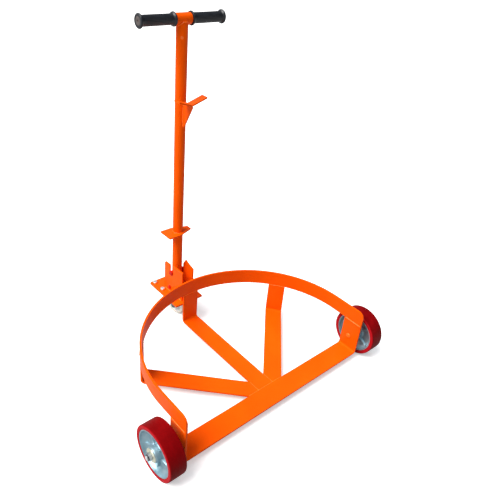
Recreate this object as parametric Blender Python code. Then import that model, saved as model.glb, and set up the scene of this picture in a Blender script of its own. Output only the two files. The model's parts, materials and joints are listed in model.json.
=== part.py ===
"""Drum dolly: low steel ring frame on two red side wheels and a swivel caster, with a tilting T handle.

Metres, +Z up, +X to the object's right, +Y to the rear (handle and caster). Depths ("d") are measured
back from the front edge of the floor bar, and PLAN() turns them into Y about the middle of the object.
"""

import math

import bmesh
import bpy
from mathutils import Matrix, Vector

GAP = 0.0003
HEX_STEPS = 12

# Frame: flat bar floor, spokes and ring
BAR_THICK = 0.006
BAR_WIDTH = 0.0655
SPOKE_WIDTH = 0.055
FLOOR_TOP = 0.0304
BEND_INNER = 0.007
BEND_STEPS = 5
RING_RADIUS = 0.330
RING_DEPTH = 0.1115
RING_BOTTOM = 0.1355
RING_HEIGHT = 0.049
RING_STEPS = 56
RING_CORNER = 0.022
RING_CORNER_STEPS = 7
SPOKE_MEET_DEPTH = 0.0377
SPOKE_ANGLE = math.radians(46.1)

# Side wheels
WHEEL_RADIUS = 0.0762
WHEEL_WIDTH = 0.0486
WHEEL_INNER_X = 0.3569
CORE_RADIUS = 0.064
TREAD_EDGE = 0.0024
HUB_PROUD = 0.003
HUB_RADIUS = 0.0215
BORE_RADIUS = 0.0125
AXLE_RADIUS = 0.008
AXLE_THREAD = 0.00635
AXLE_DEPTH = 0.0368
AXLE_NUT_FLATS = 0.019
AXLE_NUT_THICK = 0.010
AXLE_WASHER_RADIUS = 0.0196
AXLE_WASHER_THICK = 0.0025
AXLE_END_PROUD = 0.0028

# Caster mounting plate and its bolts
PLATE_HALF_WIDTH = 0.052
PLATE_REAR = 0.606
PLATE_TOP = 0.100
PLATE_THICK = 0.006
SWIVEL_DEPTH = 0.5715
BOLT_X = 0.0375
BOLT_DEPTH_OFFSET = 0.0228
BOLT_RADIUS = 0.004
BOLT_FLATS = 0.013
BOLT_HEAD = 0.0053
BOLT_NUT = 0.0064

# Swivel caster, built pointing along +X and turned by CASTER_TURN
CASTER_TURN = math.radians(-78)
CASTER_TRAIL = 0.047
CASTER_RADIUS = 0.038
CASTER_WIDTH = 0.032
CASTER_TOP_THICK = 0.003
CASTER_TOP_X = 0.047
CASTER_TOP_Y = 0.032
FORK_SHEET = 0.003
FORK_HALF_WIDTH = 0.0215
FORK_TOP = 0.0825
KINGPIN_RADIUS = 0.006

# Handle bracket: two upright side plates with an open slot for the cross pin
SIDE_INNER_X = 0.0175
SIDE_THICK = 0.005
SIDE_FRONT = 0.460
SIDE_REAR = 0.559
SIDE_FRONT_TOP = 0.2100
SIDE_REAR_TOP = 0.204
SLOT_HALF = 0.0088
PIVOT_Z = 0.1765
PIN_RADIUS = 0.0082
PIN_PROUD = 0.004
LOCK_HOLE_DEPTH = 0.5285
LOCK_HOLE_Z = 0.1165
LOCK_HOLE_RADIUS = 0.0065
STOP_THICK = 0.005
STOP_TOP = 0.158

# Handle
TUBE_RADIUS = 0.0159
TUBE_WALL = 0.0026
TUBE_DEPTH = 0.521
TUBE_BOTTOM = 0.143
TBAR_RADIUS = 0.0112
TEE_SLEEVE_RADIUS = 0.0148
TBAR_Z = 0.9551
GRIP_INNER_X = 0.0245
GRIP_OUTER_X = 0.1300
GRIP_RADIUS = 0.0138
GRIP_FLANGE = 0.0183
GRIP_CAP = 0.0035

# Bung wrench plate on the tube
WRENCH_TOP = 0.331
WRENCH_THICK = 0.0045
WRENCH_LEFT = -0.0475
WRENCH_SHOULDER = -0.0076
WRENCH_TIP = 0.0435
WRENCH_HALF = 0.0265
WRENCH_TIP_HALF = 0.0095

# Drum hook near the top of the tube
HOOK_FRONT = 0.4650
HOOK_WIDTH = 0.0245
HOOK_LEFT_REACH = 0.0425
HOOK_RIGHT_REACH = 0.0490
HOOK_SLOPE = math.radians(18)
HOOK_TOP = 0.7488
HOOK_THICK = 0.0045
GUSSET_THICK = 0.005
GUSSET_FOOT = 0.676

DEPTH_MID = (AXLE_DEPTH - WHEEL_RADIUS + PLATE_REAR) / 2


def plan(depth):
    """Y of a depth measured from the front edge of the floor bar."""
    return depth - DEPTH_MID


def make_material(name, color, metallic, roughness):
    made = bpy.data.materials.new(name)
    made.use_nodes = True
    shader = made.node_tree.nodes["Principled BSDF"]
    shader.inputs["Base Color"].default_value = (*color, 1)
    shader.inputs["Metallic"].default_value = metallic
    shader.inputs["Roughness"].default_value = roughness
    return made


def add_object(name, verts, faces, material):
    mesh = bpy.data.meshes.new(name)
    mesh.from_pydata([tuple(v) for v in verts], [], faces)
    shell = bmesh.new()
    shell.from_mesh(mesh)
    bmesh.ops.recalc_face_normals(shell, faces=shell.faces)
    shell.to_mesh(mesh)
    shell.free()
    if material is not None:
        mesh.materials.append(material)
    made = bpy.data.objects.new(name, mesh)
    bpy.context.scene.collection.objects.link(made)
    mesh.shade_smooth()
    mesh.set_sharp_from_angle(angle=math.radians(32))
    return made


def prism(name, outline, axis, low, high, material):
    """Extrudes an outline: axis "x" takes (y, z) corners, axis "z" takes (x, y) corners."""
    count = len(outline)
    if axis == "x":
        verts = [(at, a, b) for at in (low, high) for a, b in outline]
    else:
        verts = [(a, b, at) for at in (low, high) for a, b in outline]
    faces = [tuple(range(count)), tuple(range(2 * count - 1, count - 1, -1))]
    for i in range(count):
        j = (i + 1) % count
        faces.append((i, count + i, count + j, j))
    return add_object(name, verts, faces, material)


def lathe(name, profile, axis, centre, steps, material):
    """Turns a closed (radius, along) profile about an axis through centre. A radius of 0 is a pole."""
    rings = []
    verts = []
    for radius, along in profile:
        if radius == 0:
            rings.append([len(verts)] * steps)
            angles = [0]
        else:
            rings.append(list(range(len(verts), len(verts) + steps)))
            angles = [2 * math.pi * k / steps for k in range(steps)]
        for angle in angles:
            a = radius * math.cos(angle)
            b = radius * math.sin(angle)
            offset = {"x": (along, a, b), "y": (a, along, b), "z": (a, b, along)}[axis]
            verts.append(Vector(centre) + Vector(offset))
    faces = []
    for i in range(len(profile)):
        first = rings[i]
        second = rings[(i + 1) % len(profile)]
        for k in range(steps):
            m = (k + 1) % steps
            corners = []
            for corner in (first[k], first[m], second[m], second[k]):
                if corner not in corners:
                    corners.append(corner)
            if len(corners) > 2:
                faces.append(tuple(corners))
    return add_object(name, verts, faces, material)


def tube_profile(inner, outer, low, high, chamfer):
    return [
        (inner, low),
        (outer - chamfer, low),
        (outer, low + chamfer),
        (outer, high - chamfer),
        (outer - chamfer, high),
        (inner, high),
    ]


def rod_profile(radius, low, high, chamfer):
    return [
        (0, low),
        (radius - chamfer, low),
        (radius, low + chamfer),
        (radius, high - chamfer),
        (radius - chamfer, high),
        (0, high),
    ]


def hex_solid(name, flats, bore, axis, centre, low, high, material):
    """A hexagonal nut or head, chamfered at both ends, with an optional round bore."""
    steps = HEX_STEPS
    reach = flats / math.sqrt(3)
    chamfer = reach - flats / 2

    def hex_radius(angle):
        turned = (angle + math.pi / 6) % (math.pi / 3) - math.pi / 6
        return flats / 2 / math.cos(turned)

    verts = []
    rings = []
    levels = [(low, True), (low + chamfer * 0.6, False), (high - chamfer * 0.6, False), (high, True)]
    for along, rounded in levels:
        ring = []
        for k in range(steps):
            angle = 2 * math.pi * k / steps
            radius = flats / 2 * 0.985 if rounded else hex_radius(angle)
            a = radius * math.cos(angle)
            b = radius * math.sin(angle)
            offset = (along, a, b) if axis == "x" else (a, b, along)
            ring.append(len(verts))
            verts.append(Vector(centre) + Vector(offset))
        rings.append(ring)
    if bore:
        for along in (high, low):
            ring = []
            for k in range(steps):
                angle = 2 * math.pi * k / steps
                a = bore * math.cos(angle)
                b = bore * math.sin(angle)
                offset = (along, a, b) if axis == "x" else (a, b, along)
                ring.append(len(verts))
                verts.append(Vector(centre) + Vector(offset))
            rings.append(ring)
    faces = []
    loops = list(zip(rings, rings[1:]))
    if bore:
        loops.append((rings[-1], rings[0]))
    for first, second in loops:
        for k in range(steps):
            m = (k + 1) % steps
            faces.append((first[k], first[m], second[m], second[k]))
    if not bore:
        faces.append(tuple(rings[0]))
        faces.append(tuple(rings[-1]))
    return add_object(name, verts, faces, material)


def as_cutter(obj):
    obj.hide_render = True
    obj.display_type = "WIRE"
    return obj


def boolean(obj, other, operation):
    modifier = obj.modifiers.new(operation.title() + "_" + other.name, "BOOLEAN")
    modifier.operation = operation
    modifier.solver = "EXACT"
    modifier.object = other


def soften(obj, width, segments=2, angle=40):
    modifier = obj.modifiers.new("Edges", "BEVEL")
    modifier.width = width
    modifier.segments = segments
    modifier.limit_method = "ANGLE"
    modifier.angle_limit = math.radians(angle)
    modifier.use_clamp_overlap = True


def arc(centre, radius, start, end, steps):
    """Points on an arc, angles in degrees."""
    points = []
    for k in range(steps + 1):
        angle = math.radians(start + (end - start) * k / steps)
        points.append((centre[0] + radius * math.cos(angle), centre[1] + radius * math.sin(angle)))
    return points


def bend_profile():
    """The upturn of a flat bar: (out, z) pairs of its inner face and of its outer face."""
    inner = []
    outer = []
    for k in range(BEND_STEPS + 1):
        angle = math.pi / 2 * k / BEND_STEPS
        for line, radius in ((inner, BEND_INNER), (outer, BEND_INNER + BAR_THICK)):
            out = -BEND_INNER + radius * math.sin(angle)
            line.append((out, FLOOR_TOP + BEND_INNER - radius * math.cos(angle)))
    top = RING_BOTTOM - GAP
    inner.append((0, top))
    outer.append((BAR_THICK, top))
    return inner, outer


def front_bar(material):
    """Wide floor bar with both ends turned up into the plates that carry the wheels."""
    inner, outer = bend_profile()
    section = [(-RING_RADIUS - out, z) for out, z in reversed(inner)]
    section += [(RING_RADIUS + out, z) for out, z in inner]
    section += [(RING_RADIUS + out, z) for out, z in reversed(outer)]
    section += [(-RING_RADIUS - out, z) for out, z in outer]
    count = len(section)
    verts = [(x, plan(d), z) for d in (0, BAR_WIDTH) for x, z in section]
    half = count // 2
    faces = []
    for side in (0, count):
        for i in range(half - 1):
            faces.append((side + i, side + i + 1, side + count - 2 - i, side + count - 1 - i))
    for i in range(count):
        j = (i + 1) % count
        faces.append((i, j, count + j, count + i))
    return add_object("front_bar", verts, faces, material)


def line_at_offset(base, direction, chord_point, outward, offset):
    """Where a spoke edge meets the line that lies this far outside the chord of its leg."""
    return base + direction * ((offset - (base - chord_point).dot(outward)) / direction.dot(outward))


def ring_hit(base, direction):
    """Where a spoke edge meets the inner face of the ring."""
    centre = Vector((0, RING_DEPTH))
    along = direction.dot(base - centre)
    inside = (base - centre).length_squared - RING_RADIUS**2
    return base + direction * (-along + math.sqrt(along * along - inside))


def spoke(name, angle, hub_outline, material):
    """A floor spoke whose end turns up into a leg under the ring.

    hub_outline takes the two edge lines and returns the corners at the hub, from the
    right edge round to the left edge.
    """
    direction = Vector((math.cos(angle), math.sin(angle)))
    left_normal = Vector((-direction.y, direction.x))
    meet = Vector((0, SPOKE_MEET_DEPTH))
    right = meet - left_normal * SPOKE_WIDTH / 2
    left = meet + left_normal * SPOKE_WIDTH / 2
    right_hit = ring_hit(right, direction)
    left_hit = ring_hit(left, direction)
    chord = (left_hit - right_hit).normalized()
    outward = Vector((chord.y, -chord.x))
    inner, outer = bend_profile()
    verts = []

    def add(point, z):
        verts.append((point.x, plan(point.y), z))
        return len(verts) - 1

    hub = hub_outline(right, left, direction)
    hub_top = [add(p, FLOOR_TOP) for p in hub]
    hub_low = [add(p, FLOOR_TOP - BAR_THICK) for p in hub]
    stations = []
    for (out_a, z_a), (out_b, z_b) in zip(inner, outer):
        stations.append(
            (
                add(line_at_offset(right, direction, right_hit, outward, out_a), z_a),
                add(line_at_offset(left, direction, right_hit, outward, out_a), z_a),
                add(line_at_offset(right, direction, right_hit, outward, out_b), z_b),
                add(line_at_offset(left, direction, right_hit, outward, out_b), z_b),
            )
        )
    first = stations[0]
    faces = [tuple([first[0]] + hub_top + [first[1]]), tuple([first[2]] + hub_low + [first[3]])]
    top_loop = [first[0]] + hub_top + [first[1]]
    low_loop = [first[2]] + hub_low + [first[3]]
    for i in range(len(top_loop) - 1):
        faces.append((top_loop[i], top_loop[i + 1], low_loop[i + 1], low_loop[i]))
    for a, b in zip(stations, stations[1:]):
        faces.append((a[0], a[1], b[1], b[0]))
        faces.append((a[2], a[3], b[3], b[2]))
        faces.append((a[0], b[0], b[2], a[2]))
        faces.append((a[1], b[1], b[3], a[3]))
    last = stations[-1]
    faces.append((last[0], last[1], last[3], last[2]))
    return add_object(name, verts, faces, material)


def spokes(material):
    bar_line = BAR_WIDTH + GAP
    side_line = SPOKE_WIDTH / 2 + GAP

    def at_depth(base, direction, depth):
        return base + direction * ((depth - base.y) / direction.y)

    def at_side(base, direction, x):
        return base + direction * ((x - base.x) / direction.x)

    def middle_hub(right, left, direction):
        return [at_depth(right, direction, bar_line), at_depth(left, direction, bar_line)]

    def right_hub(right, left, direction):
        corner = Vector((side_line, bar_line))
        return [at_depth(right, direction, bar_line), corner, at_side(left, direction, side_line)]

    def left_hub(right, left, direction):
        corner = Vector((-side_line, bar_line))
        return [at_side(right, direction, -side_line), corner, at_depth(left, direction, bar_line)]

    spoke("middle_spoke", math.pi / 2, middle_hub, material)
    spoke("right_spoke", SPOKE_ANGLE, right_hub, material)
    spoke("left_spoke", math.pi - SPOKE_ANGLE, left_hub, material)


def ring_band(material):
    """Half ring with straight ends, open at the front, top corners rounded."""
    top = RING_BOTTOM + RING_HEIGHT
    corner = []
    for k in range(RING_CORNER_STEPS + 1):
        turn = math.pi / 2 * k / RING_CORNER_STEPS
        corner.append((RING_CORNER * (1 - math.cos(turn)), top - RING_CORNER * (1 - math.sin(turn))))
    stations = [((-1, 0), depth, z) for depth, z in corner]
    stations += [((-1, 0), RING_DEPTH, top)]
    for k in range(1, RING_STEPS):
        turn = math.pi - math.pi * k / RING_STEPS
        stations.append(((math.cos(turn), math.sin(turn)), RING_DEPTH, top))
    stations += [((1, 0), RING_DEPTH, top)]
    stations += [((1, 0), depth, z) for depth, z in reversed(corner)]
    verts = []
    for (a, b), depth, z in stations:
        for radius, level in (
            (RING_RADIUS, RING_BOTTOM),
            (RING_RADIUS, z),
            (RING_RADIUS + BAR_THICK, z),
            (RING_RADIUS + BAR_THICK, RING_BOTTOM),
        ):
            verts.append((a * radius, plan(depth + b * radius), level))
    faces = [(0, 1, 2, 3)]
    for i in range(len(stations) - 1):
        for k in range(4):
            m = (k + 1) % 4
            faces.append((4 * i + k, 4 * i + m, 4 * i + 4 + m, 4 * i + 4 + k))
    last = 4 * (len(stations) - 1)
    faces.append((last, last + 1, last + 2, last + 3))
    return add_object("ring_band", verts, faces, material)


def side_wheel(side, label, paints):
    """One side wheel with its axle, seen along +X from its inner face and mirrored for the left."""
    inner = WHEEL_INNER_X
    outer = inner + WHEEL_WIDTH
    middle = (inner + outer) / 2
    half = WHEEL_WIDTH / 2
    centre = (0, plan(AXLE_DEPTH), WHEEL_RADIUS)
    edge = TREAD_EDGE
    tread = [
        (CORE_RADIUS + GAP, -half + 0.0006),
        (WHEEL_RADIUS - edge, -half),
        (WHEEL_RADIUS - edge * 0.3, -half + edge * 0.3),
        (WHEEL_RADIUS, -half + edge),
        (WHEEL_RADIUS, half - edge),
        (WHEEL_RADIUS - edge * 0.3, half - edge * 0.3),
        (WHEEL_RADIUS - edge, half),
        (CORE_RADIUS + GAP, half - 0.0006),
    ]
    hub_end = half + HUB_PROUD
    quarter = [
        (BORE_RADIUS, hub_end),
        (HUB_RADIUS - 0.0015, hub_end),
        (HUB_RADIUS, hub_end - 0.0015),
        (HUB_RADIUS + 0.0015, half * 0.42),
        (HUB_RADIUS + 0.006, half * 0.30),
        (0.046, half * 0.26),
        (0.0535, half * 0.36),
        (0.0588, half * 0.66),
        (0.0612, half - 0.0012),
        (CORE_RADIUS, half - 0.0012),
    ]
    core = quarter + [(radius, -along) for radius, along in reversed(quarter)]

    def placed(profile):
        return [(radius, side * (middle + along)) for radius, along in profile]

    def spanned(profile):
        return [(radius, side * along) for radius, along in profile]

    lathe("wheel_tread_" + label, placed(tread), "x", centre, 60, paints["red_tread"])
    lathe("wheel_core_" + label, placed(core), "x", centre, 36, paints["silver_core"])
    bearing = tube_profile(AXLE_RADIUS + GAP, BORE_RADIUS - GAP, -hub_end + 0.001, hub_end - 0.001, 0.0005)
    lathe("wheel_bearing_" + label, placed(bearing), "x", centre, 24, paints["zinc"])
    plate_inner = RING_RADIUS
    plate_outer = RING_RADIUS + BAR_THICK
    hub_inner = middle - hub_end
    hub_outer = middle + hub_end
    washer_low = hub_outer + GAP
    washer_high = washer_low + AXLE_WASHER_THICK
    nut_low = washer_high + GAP
    nut_high = nut_low + AXLE_NUT_THICK
    axle_end = nut_high + AXLE_END_PROUD
    axle = [
        (0, plate_inner - 0.001),
        (AXLE_RADIUS - 0.0008, plate_inner - 0.001),
        (AXLE_RADIUS, plate_inner - 0.0002),
        (AXLE_RADIUS, hub_outer - 0.0004),
        (AXLE_THREAD, hub_outer - 0.0004),
        (AXLE_THREAD, axle_end - 0.001),
        (AXLE_THREAD - 0.001, axle_end),
        (0, axle_end),
    ]
    lathe("axle_" + label, spanned(axle), "x", centre, 24, paints["zinc"])
    spacer = tube_profile(AXLE_RADIUS + GAP, BORE_RADIUS, plate_outer + GAP, hub_inner - GAP, 0.0008)
    lathe("axle_spacer_" + label, spanned(spacer), "x", centre, 24, paints["zinc"])
    washer = tube_profile(AXLE_THREAD + GAP, AXLE_WASHER_RADIUS, washer_low, washer_high, 0.0008)
    lathe("axle_washer_" + label, spanned(washer), "x", centre, 28, paints["pale_cap"])
    low, high = sorted((side * nut_low, side * nut_high))
    hex_solid(
        "axle_nut_" + label, AXLE_NUT_FLATS, AXLE_THREAD + 2 * GAP, "x", centre, low, high, paints["zinc"]
    )


def caster_mount(paints):
    """Plate behind the middle leg, with the bolts that hold the caster under it."""
    front = RING_DEPTH + RING_RADIUS + BAR_THICK + GAP
    corner = 0.004
    outline = [
        (-PLATE_HALF_WIDTH, plan(front)),
        (PLATE_HALF_WIDTH, plan(front)),
        (PLATE_HALF_WIDTH, plan(PLATE_REAR - corner)),
        (PLATE_HALF_WIDTH - corner, plan(PLATE_REAR)),
        (-PLATE_HALF_WIDTH + corner, plan(PLATE_REAR)),
        (-PLATE_HALF_WIDTH, plan(PLATE_REAR - corner)),
    ]
    bottom = PLATE_TOP - PLATE_THICK
    plate = prism("caster_mount_plate", outline, "z", bottom, PLATE_TOP, paints["orange"])
    top_high = bottom - GAP
    top_low = top_high - CASTER_TOP_THICK
    y_mid = plan(SWIVEL_DEPTH)
    cut = 0.006
    pad = [
        (-CASTER_TOP_X + cut, y_mid - CASTER_TOP_Y),
        (CASTER_TOP_X - cut, y_mid - CASTER_TOP_Y),
        (CASTER_TOP_X, y_mid - CASTER_TOP_Y + cut),
        (CASTER_TOP_X, y_mid + CASTER_TOP_Y - cut),
        (CASTER_TOP_X - cut, y_mid + CASTER_TOP_Y),
        (-CASTER_TOP_X + cut, y_mid + CASTER_TOP_Y),
        (-CASTER_TOP_X, y_mid + CASTER_TOP_Y - cut),
        (-CASTER_TOP_X, y_mid - CASTER_TOP_Y + cut),
    ]
    top_plate = prism("caster_top_plate", pad, "z", top_low, top_high, paints["zinc"])
    number = 0
    for x in (-BOLT_X, BOLT_X):
        for depth in (SWIVEL_DEPTH - BOLT_DEPTH_OFFSET, SWIVEL_DEPTH + BOLT_DEPTH_OFFSET):
            number += 1
            at = (x, plan(depth), 0)
            hole = lathe(
                f"cut_plate_bolt_{number}",
                [(0, 0.08), (BOLT_RADIUS + GAP, 0.08), (BOLT_RADIUS + GAP, 0.11), (0, 0.11)],
                "z",
                at,
                16,
                None,
            )
            as_cutter(hole)
            boolean(plate, hole, "DIFFERENCE")
            boolean(top_plate, hole, "DIFFERENCE")
            head_low = PLATE_TOP + GAP
            nut_high = top_low - GAP
            nut_low = nut_high - BOLT_NUT
            shank_low = nut_low - 0.002
            bolt = hex_bolt(
                f"plate_bolt_{number}", at, BOLT_RADIUS, BOLT_FLATS, head_low, BOLT_HEAD, shank_low
            )
            bolt.data.materials.append(paints["zinc"])
            hex_solid(
                f"plate_nut_{number}", BOLT_FLATS, BOLT_RADIUS + GAP, "z", at, nut_low, nut_high, paints["zinc"]
            )
    king_hole = lathe(
        "cut_kingpin",
        [(0, 0.085), (KINGPIN_RADIUS + GAP, 0.085), (KINGPIN_RADIUS + GAP, 0.0938), (0, 0.0938)],
        "z",
        (0, y_mid, 0),
        20,
        None,
    )
    as_cutter(king_hole)
    boolean(top_plate, king_hole, "DIFFERENCE")
    return top_low


def hex_bolt(name, at, radius, flats, head_low, head, shank_low):
    """A vertical bolt: hexagonal head above, round shank below, one closed surface."""
    steps = HEX_STEPS
    verts = []
    rings = []
    across = flats / 2
    levels = [
        (shank_low, radius * 0.8, False),
        (shank_low + 0.0008, radius, False),
        (head_low, radius, False),
        (head_low, 0, True),
        (head_low + head * 0.75, 0, True),
        (head_low + head, across * 0.93, False),
    ]
    for z, size, six in levels:
        ring = []
        for k in range(steps):
            angle = 2 * math.pi * k / steps
            turned = (angle + math.pi / 6) % (math.pi / 3) - math.pi / 6
            reach = across / math.cos(turned) if six else size
            ring.append(len(verts))
            verts.append((at[0] + reach * math.cos(angle), at[1] + reach * math.sin(angle), z))
        rings.append(ring)
    faces = [tuple(rings[0]), tuple(rings[-1])]
    for first, second in zip(rings, rings[1:]):
        for k in range(steps):
            m = (k + 1) % steps
            faces.append((first[k], first[m], second[m], second[k]))
    return add_object(name, verts, faces, None)


def swivel_caster(top_low, paints):
    """Fork, wheel and kingpin, built pointing along +X about the swivel axis, then turned."""
    turn = Matrix.Translation((0, plan(SWIVEL_DEPTH), 0)) @ Matrix.Rotation(CASTER_TURN, 4, "Z")
    here = (0, 0, 0)
    race_high = top_low - GAP
    race_low = FORK_TOP + GAP
    race = [
        (KINGPIN_RADIUS + GAP, race_low),
        (0.0215, race_low),
        (0.0240, race_low + 0.0020),
        (0.0240, race_low + 0.0038),
        (0.0205, race_high),
        (KINGPIN_RADIUS + GAP, race_high),
    ]
    made = [lathe("caster_race", race, "z", here, 28, paints["zinc"])]
    crown_low = FORK_TOP - FORK_SHEET
    pin_head = crown_low - GAP
    kingpin = [
        (0, pin_head - 0.0035),
        (0.0085, pin_head - 0.0035),
        (0.0100, pin_head - 0.0020),
        (0.0100, pin_head),
        (KINGPIN_RADIUS, pin_head),
        (KINGPIN_RADIUS, top_low + 0.0024),
        (0, top_low + 0.0024),
    ]
    made.append(lathe("caster_kingpin", kingpin, "z", here, 20, paints["zinc"]))
    inside = FORK_HALF_WIDTH - FORK_SHEET
    corner = 0.005
    low = 0.02
    section = [(-FORK_HALF_WIDTH, low)]
    section += [(-FORK_HALF_WIDTH, FORK_TOP - corner)]
    section += arc((-FORK_HALF_WIDTH + corner, FORK_TOP - corner), corner, 180, 90, 3)[1:]
    section += arc((FORK_HALF_WIDTH - corner, FORK_TOP - corner), corner, 90, 0, 3)
    section += [(FORK_HALF_WIDTH, low), (inside, low), (inside, crown_low)]
    section += [(-inside, crown_low), (-inside, low)]
    fork = prism("caster_fork", section, "x", -0.03, 0.065, paints["zinc"])
    axle_at = (CASTER_TRAIL, CASTER_RADIUS)
    side = [(-0.026, FORK_TOP + 0.004), (0.030, FORK_TOP + 0.004), (CASTER_TRAIL - 0.006, FORK_TOP - 0.010)]
    side += arc(axle_at, 0.0105, 25, -150, 10)
    side += [(0.012, 0.060), (-0.012, 0.074), (-0.026, 0.076)]
    keep_verts = [(x, y, z) for y in (-0.03, 0.03) for x, z in side]
    count = len(side)
    keep_faces = [tuple(range(count)), tuple(range(2 * count - 1, count - 1, -1))]
    keep_faces += [(i, count + i, count + (i + 1) % count, (i + 1) % count) for i in range(count)]
    keep = as_cutter(add_object("cut_fork_side", keep_verts, keep_faces, None))
    boolean(fork, keep, "INTERSECT")
    bolt_radius = 0.004
    axle_hole = lathe(
        "cut_fork_axle",
        [(0, -0.03), (bolt_radius + GAP, -0.03), (bolt_radius + GAP, 0.03), (0, 0.03)],
        "y",
        (CASTER_TRAIL, 0, CASTER_RADIUS),
        20,
        None,
    )
    king_hole = lathe(
        "cut_fork_kingpin",
        [
            (0, 0.07),
            (KINGPIN_RADIUS + GAP, 0.07),
            (KINGPIN_RADIUS + GAP, 0.09),
            (0, 0.09),
        ],
        "z",
        here,
        20,
        None,
    )
    for cutter in (axle_hole, king_hole):
        as_cutter(cutter)
        boolean(fork, cutter, "DIFFERENCE")
        cutter.matrix_world = turn
    keep.matrix_world = turn
    made.append(fork)
    wheel_at = (CASTER_TRAIL, 0, CASTER_RADIUS)
    half = CASTER_WIDTH / 2
    split = 0.0265
    tread = [
        (split + GAP, -half + 0.003),
        (CASTER_RADIUS - 0.006, -half + 0.001),
        (CASTER_RADIUS - 0.0018, -half + 0.005),
        (CASTER_RADIUS, -half + 0.010),
        (CASTER_RADIUS, half - 0.010),
        (CASTER_RADIUS - 0.0018, half - 0.005),
        (CASTER_RADIUS - 0.006, half - 0.001),
        (split + GAP, half - 0.003),
    ]
    made.append(lathe("caster_wheel_tread", tread, "y", wheel_at, 44, paints["cream"]))
    quarter = [
        (bolt_radius + GAP, half + 0.0012),
        (0.0085, half + 0.0012),
        (0.0095, half - 0.001),
        (0.0105, half * 0.45),
        (0.0210, half * 0.45),
        (0.0235, half - 0.004),
        (split, half - 0.003),
    ]
    core = quarter + [(radius, -along) for radius, along in reversed(quarter)]
    made.append(lathe("caster_wheel_core", core, "y", wheel_at, 28, paints["pale_core"]))
    head = 0.005
    head_low = FORK_HALF_WIDTH + GAP
    bolt = hex_bolt("caster_axle_bolt", (0, 0, 0), bolt_radius, 0.013, head_low, head, -head_low - 0.0085)
    bolt.data.materials.append(paints["zinc"])
    lay = Matrix.Translation(wheel_at) @ Matrix.Rotation(math.radians(90), 4, "X")
    bolt.data.transform(lay)
    made.append(bolt)
    nut = hex_solid(
        "caster_axle_nut", 0.013, bolt_radius + GAP, "z", here, -head_low - 0.0065, -head_low, paints["zinc"]
    )
    nut.data.transform(lay)
    made.append(nut)
    for obj in made:
        obj.matrix_world = turn


def side_plate_outline(right_hand):
    """Profile of a bracket plate: rear prong, open slot, front prong. The right one has a raised ear."""
    base = PLATE_TOP + GAP
    slot_front = TUBE_DEPTH - SLOT_HALF
    slot_rear = TUBE_DEPTH + SLOT_HALF
    outline = [(SIDE_FRONT, base), (SIDE_REAR, base), (SIDE_REAR, SIDE_REAR_TOP - 0.004)]
    outline += [(SIDE_REAR - 0.004, SIDE_REAR_TOP), (slot_rear, SIDE_REAR_TOP)]
    outline += arc((TUBE_DEPTH, PIVOT_Z), SLOT_HALF, 0, -180, 10)
    if right_hand:
        outline += [(slot_front, 0.2060), (0.5010, 0.2245), (0.4820, 0.2165), (SIDE_FRONT, 0.2112)]
    else:
        outline += [(slot_front, SIDE_FRONT_TOP), (SIDE_FRONT, SIDE_FRONT_TOP)]
    return [(plan(depth), z) for depth, z in outline]


def handle_bracket(paints):
    inner = SIDE_INNER_X
    outer = SIDE_INNER_X + SIDE_THICK
    hole = lathe(
        "cut_lock_holes",
        [(0, -0.03), (LOCK_HOLE_RADIUS, -0.03), (LOCK_HOLE_RADIUS, 0.03), (0, 0.03)],
        "x",
        (0, plan(LOCK_HOLE_DEPTH), LOCK_HOLE_Z),
        20,
        None,
    )
    as_cutter(hole)
    for label, low, high, right_hand in (("left", -outer, -inner, False), ("right", inner, outer, True)):
        outline = side_plate_outline(right_hand)
        plate = prism("bracket_plate_" + label, outline, "x", low, high, paints["orange"])
        boolean(plate, hole, "DIFFERENCE")
    lock_reach = outer + PIN_PROUD
    lock_pin = rod_profile(LOCK_HOLE_RADIUS - GAP, -lock_reach, lock_reach, 0.001)
    lathe("lower_cross_pin", lock_pin, "x", (0, plan(LOCK_HOLE_DEPTH), LOCK_HOLE_Z), 20, paints["orange"])
    stop_front = TUBE_DEPTH + TUBE_RADIUS + GAP
    base = PLATE_TOP + GAP
    stop = [
        (plan(stop_front), base),
        (plan(stop_front + STOP_THICK), base),
        (plan(stop_front + STOP_THICK), STOP_TOP),
        (plan(stop_front), STOP_TOP),
    ]
    prism("handle_stop_plate", stop, "x", -inner + GAP, inner - GAP, paints["orange"])


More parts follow.
